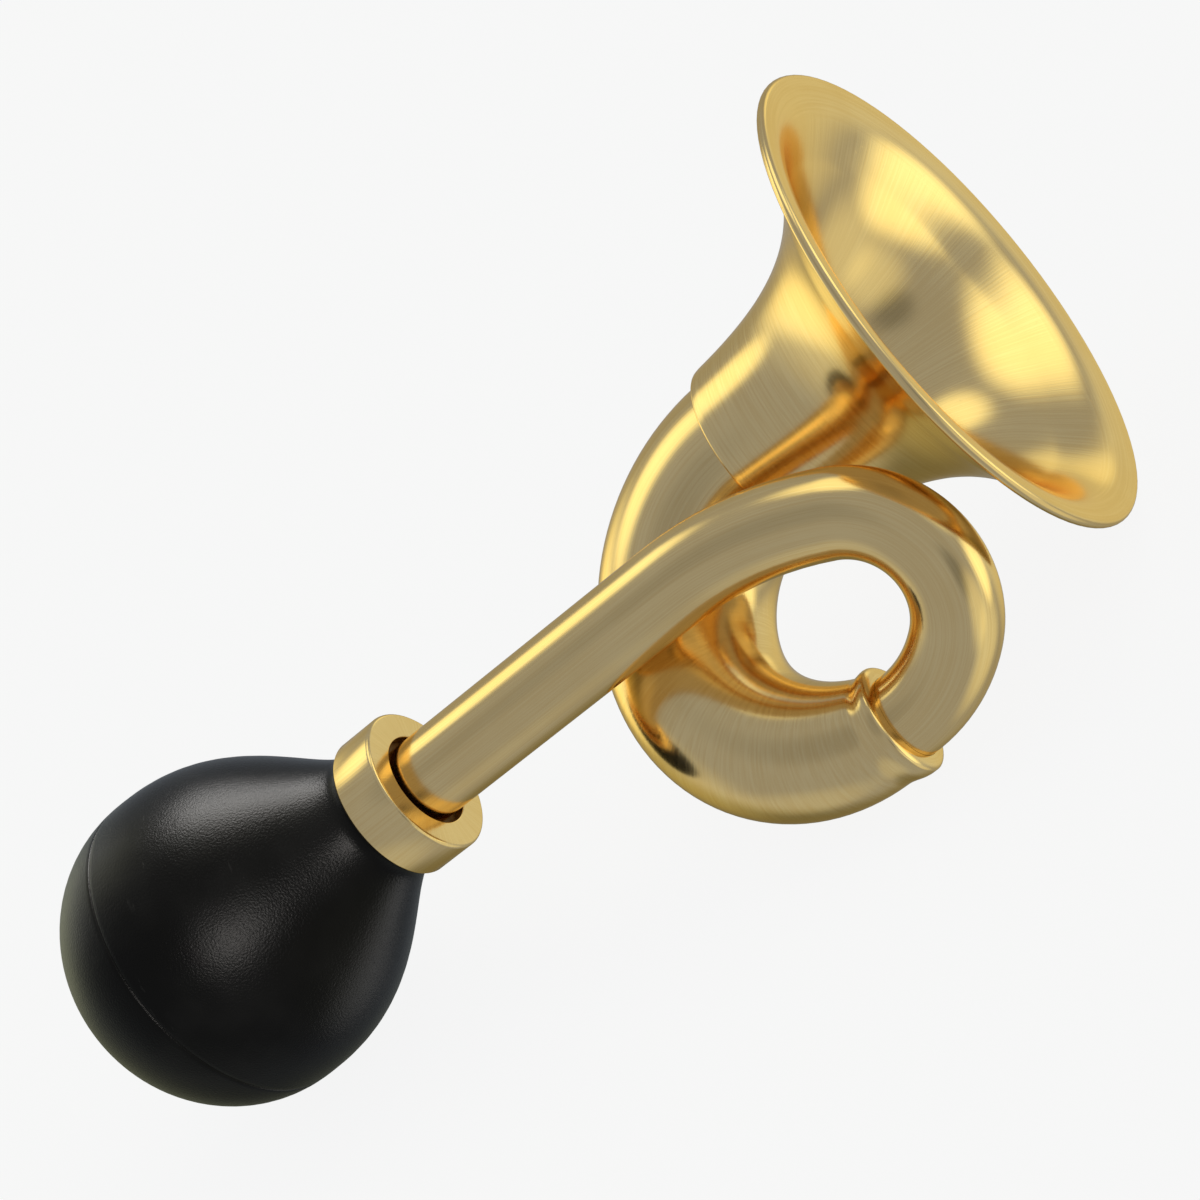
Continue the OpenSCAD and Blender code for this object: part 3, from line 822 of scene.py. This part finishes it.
# Soft boxes and dark flags: direction as shares of the camera's right, up and back, angles in degrees
# within which each is full and beyond which it ends, then a box's strength or the share of the room
# that a flag takes away
ROOM = (0.37, 0.415, 0.475, 1)
BOX_TINT = (1.0, 1.0, 0.53, 1)
SOFT_BOXES = (
    ((-0.86, 0.41, -0.29), 6, 20, 1.15),
    ((-0.71, -0.06, -0.70), 4, 24, 0.75),
    ((-0.69, -0.33, -0.64), 1, 45, 0.30),
    ((0.95, 0.25, 0.17), 6, 24, 1.15),
    ((0.64, 0.46, -0.61), 18, 40, 0.33),
    ((0.31, 0.73, -0.61), 1, 13, 0.40),
    ((0.46, 0.82, 0.36), 6, 27, 1.15),
    ((-0.35, 0.92, 0.18), 11, 24, 0.95),
    ((0.90, -0.44, 0.03), 10, 35, 0.38),
    ((0.74, -0.29, 0.61), 2, 26, 0.40),
    ((-0.20, -0.96, -0.20), 4, 30, 0.14),
    ((-0.14, -0.53, -0.83), 10, 42, 0.13),
)
DARK_FLAGS = (
    ((0.43, -0.10, 0.90), 1, 18, 0.45),
    ((-0.14, -0.53, -0.83), 10, 42, 0.82),
    ((-0.70, 0.02, 0.72), 1, 31, 0.20),
)

# Lamps for the rubber alone: direction as above, distance and size in metres, power in watts
BULB_LAMPS = (
    ("bulb top lamp", (-0.33, 0.94, -0.03), 0.60, 0.30, 9.2),
    ("bulb left lamp", (-0.88, 0.20, -0.42), 0.60, 0.40, 0.5),
    ("bulb right lamp", (0.84, -0.50, -0.22), 0.60, 0.30, 0.9),
    ("bulb front lamp", (-0.04, -0.09, 0.99), 0.50, 0.16, 2.5),
)


# Floor: side in metres, its own light and the grey that shadows show on
FLOOR_SIZE = 6
FLOOR_GREY = (0.06, 0.06, 0.06, 1)
FLOOR_ROUGHNESS = 0.9
FLOOR_LIGHT = (1, 1, 1, 1)
FLOOR_GLOW = 0.895


def light_studio():
    """A bluish-grey room with soft boxes and dark flags, all in the world's own shader."""
    world = bpy.data.worlds.new("studio")
    world.use_nodes = True
    bpy.context.scene.world = world
    studio = NodeTree(world.node_tree)
    looking = studio.node("ShaderNodeTexCoord", "Generated", {}, {})

    def patches(rows):
        """The sum of soft round patches round the room."""
        total = 0.0
        for shares, core, reach, strength in rows:
            inputs = {0: looking, 1: from_camera(shares)}
            nearness = studio.node("ShaderNodeVectorMath", "Value", {"operation": "DOT_PRODUCT"}, inputs)
            edge = math.cos(math.radians(reach))
            full = math.cos(math.radians(core))
            total = studio.ramp(nearness, edge, full) * strength + total
        return total

    def tinted(colour, share):
        settings = {"data_type": "RGBA", "blend_type": "MULTIPLY"}
        return studio.node("ShaderNodeMix", 2, settings, {0: 1.0, 6: colour, 7: share})

    walls = tinted(ROOM, 1 - patches(DARK_FLAGS))
    boxes = tinted(BOX_TINT, patches(SOFT_BOXES))
    settings = {"data_type": "RGBA", "blend_type": "ADD"}
    total = studio.node("ShaderNodeMix", 2, settings, {0: 1.0, 6: walls, 7: boxes})
    studio.feed(world.node_tree.nodes["Background"].inputs["Color"], total)


def light_bulb(bulb):
    """Soft lamps that reach the rubber only, so that it shows its highlights beside bright brass."""
    rubber_only = bpy.data.collections.new("rubber")
    rubber_only.objects.link(bulb)
    belly = HORN @ Vector((BULB_BELLY_X, 0, 0))
    for name, shares, distance, size, power in BULB_LAMPS:
        towards = from_camera(shares)
        light = bpy.data.lights.new(name, "AREA")
        light.size = size
        light.energy = power
        lamp = bpy.data.objects.new(name, light)
        bpy.context.scene.collection.objects.link(lamp)
        facing = towards.to_track_quat("Z", "Y").to_matrix().to_4x4()
        lamp.matrix_world = Matrix.Translation(belly + towards * distance) @ facing
        lamp.visible_camera = False
        lamp.light_linking.receiver_collection = rubber_only


def lay_floor():
    """A pale floor that isn't seen in the brass, as the photo's backdrop isn't."""
    bpy.ops.object.select_all(action="DESELECT")
    bpy.ops.mesh.primitive_plane_add(size=FLOOR_SIZE, location=(0, 0, 0))
    floor = bpy.context.object
    floor.name = "floor"
    finish = Finish("pale floor")
    finish.set("Base Color", FLOOR_GREY)
    finish.set("Roughness", FLOOR_ROUGHNESS)
    finish.set("Specular IOR Level", 0.0)
    finish.set("Emission Color", FLOOR_LIGHT)
    finish.set("Emission Strength", FLOOR_GLOW)
    dress(floor, finish.material)
    floor.visible_glossy = False


bulb = build_horn()
dress_hidden_pieces()
set_camera()
light_studio()
light_bulb(bulb)
lay_floor()
bpy.context.scene.view_settings.view_transform = "Standard"
